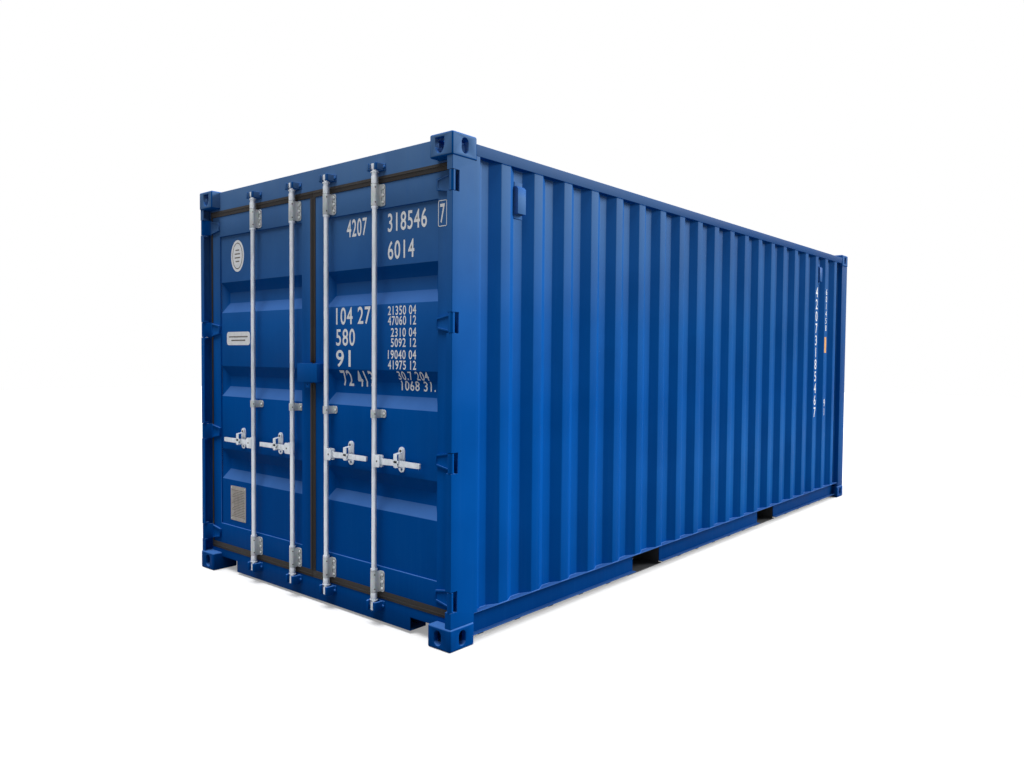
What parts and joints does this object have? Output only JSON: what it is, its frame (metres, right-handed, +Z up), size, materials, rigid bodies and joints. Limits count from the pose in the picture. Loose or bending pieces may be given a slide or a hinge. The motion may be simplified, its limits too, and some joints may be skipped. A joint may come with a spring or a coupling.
{
  "type": "shipping container",
  "caption": "Dry freight container with corrugated steel walls, corner castings, fork pockets and two hinged end doors with turning lock rods, lifting handles and swinging catches.",
  "frame": {"origin": "on the ground under the middle of the container", "axes": "+X along the length from the door end to the blind end, +Y across the width, +Z up"},
  "size_m": [6.058, 2.438, 2.591],
  "materials": {
    "blue_paint": "blue marine topcoat on corten steel, satin",
    "zinc_steel": "hot-dip galvanized, dull light grey",
    "gasket_rubber": "black EPDM, matt",
    "floor_plywood": "marine plywood, oiled"
  },
  "bodies": {
    "container": {"bottom_corner_castings": "blue_paint", "cross_members": "blue_paint", "door_header": "blue_paint", "door_sill": "blue_paint", "forklift_pockets": "blue_paint", "front_bottom_rail": "blue_paint", "front_corner_posts": "blue_paint", "front_top_rail": "blue_paint", "front_wall": "blue_paint", "header_keepers": "blue_paint", "left_bottom_rail": "blue_paint", "left_door_post": "blue_paint", "left_side_wall": "blue_paint", "plywood_floor": "floor_plywood", "post_hinge_lugs": "blue_paint", "right_bottom_rail": "blue_paint", "right_door_post": "blue_paint", "right_side_wall": "blue_paint", "roof_panel": "blue_paint", "sill_keepers": "zinc_steel", "top_corner_castings": "blue_paint", "top_side_rails": "blue_paint", "wall_vents": "blue_paint"},
    "left_door": {"left_door_frame": "blue_paint", "left_door_panel": "blue_paint", "left_door_gasket": "gasket_rubber", "left_hinge_blades": "blue_paint", "left_rod_brackets": "zinc_steel", "left_handle_retainers": "zinc_steel"},
    "right_door": {"right_door_frame": "blue_paint", "right_door_panel": "blue_paint", "right_door_gasket": "gasket_rubber", "right_hinge_blades": "blue_paint", "right_rod_brackets": "zinc_steel", "right_handle_retainers": "zinc_steel", "lock_box": "blue_paint"},
    "lock_rod_1": {"lock_rod_1": "zinc_steel"},
    "handle_1": {"handle_1": "zinc_steel"},
    "catch_1": {"catch_1": "zinc_steel"},
    "lock_rod_2": {"lock_rod_2": "zinc_steel"},
    "handle_2": {"handle_2": "zinc_steel"},
    "catch_2": {"catch_2": "zinc_steel"},
    "lock_rod_3": {"lock_rod_3": "zinc_steel"},
    "handle_3": {"handle_3": "zinc_steel"},
    "catch_3": {"catch_3": "zinc_steel"},
    "lock_rod_4": {"lock_rod_4": "zinc_steel"},
    "handle_4": {"handle_4": "zinc_steel"},
    "catch_4": {"catch_4": "zinc_steel"}
  },
  "joints": [
    {"name": "left_door_hinge", "type": "hinge", "parent": "container", "child": "left_door", "pos_m": [-3.01, 1.2, 1.3], "axis": [0, 0, 1], "range_deg": [-266, 0]},
    {"name": "right_door_hinge", "type": "hinge", "parent": "container", "child": "right_door", "pos_m": [-3.01, -1.2, 1.3], "axis": [0, 0, -1], "range_deg": [-266, 0]},
    {"name": "lock_rod_1_turn", "type": "hinge", "parent": "left_door", "child": "lock_rod_1", "pos_m": [-2.999, 0.6, 1.3], "axis": [0, 0, 1], "range_deg": [0, 100]},
    {"name": "handle_1_lift", "type": "hinge", "parent": "lock_rod_1", "child": "handle_1", "pos_m": [-2.999, 0.64, 0.912], "axis": [1, 0, 0], "range_deg": [0, 10]},
    {"name": "catch_1_swing", "type": "hinge", "parent": "left_door", "child": "catch_1", "pos_m": [-2.999, 0.782, 0.975], "axis": [1, 0, 0], "range_deg": [0, 95]},
    {"name": "lock_rod_2_turn", "type": "hinge", "parent": "left_door", "child": "lock_rod_2", "pos_m": [-2.999, 0.17, 1.3], "axis": [0, 0, 1], "range_deg": [0, 100]},
    {"name": "handle_2_lift", "type": "hinge", "parent": "lock_rod_2", "child": "handle_2", "pos_m": [-2.999, 0.21, 0.912], "axis": [1, 0, 0], "range_deg": [0, 10]},
    {"name": "catch_2_swing", "type": "hinge", "parent": "left_door", "child": "catch_2", "pos_m": [-2.999, 0.352, 0.975], "axis": [1, 0, 0], "range_deg": [0, 95]},
    {"name": "lock_rod_3_turn", "type": "hinge", "parent": "right_door", "child": "lock_rod_3", "pos_m": [-2.999, -0.17, 1.3], "axis": [0, 0, -1], "range_deg": [0, 100]},
    {"name": "handle_3_lift", "type": "hinge", "parent": "lock_rod_3", "child": "handle_3", "pos_m": [-2.999, -0.21, 0.912], "axis": [-1, 0, 0], "range_deg": [0, 10]},
    {"name": "catch_3_swing", "type": "hinge", "parent": "right_door", "child": "catch_3", "pos_m": [-2.999, -0.352, 0.975], "axis": [-1, 0, 0], "range_deg": [0, 95]},
    {"name": "lock_rod_4_turn", "type": "hinge", "parent": "right_door", "child": "lock_rod_4", "pos_m": [-2.999, -0.6, 1.3], "axis": [0, 0, -1], "range_deg": [0, 100]},
    {"name": "handle_4_lift", "type": "hinge", "parent": "lock_rod_4", "child": "handle_4", "pos_m": [-2.999, -0.64, 0.912], "axis": [-1, 0, 0], "range_deg": [0, 10]},
    {"name": "catch_4_swing", "type": "hinge", "parent": "right_door", "child": "catch_4", "pos_m": [-2.999, -0.782, 0.975], "axis": [-1, 0, 0], "range_deg": [0, 95]}
  ]
}
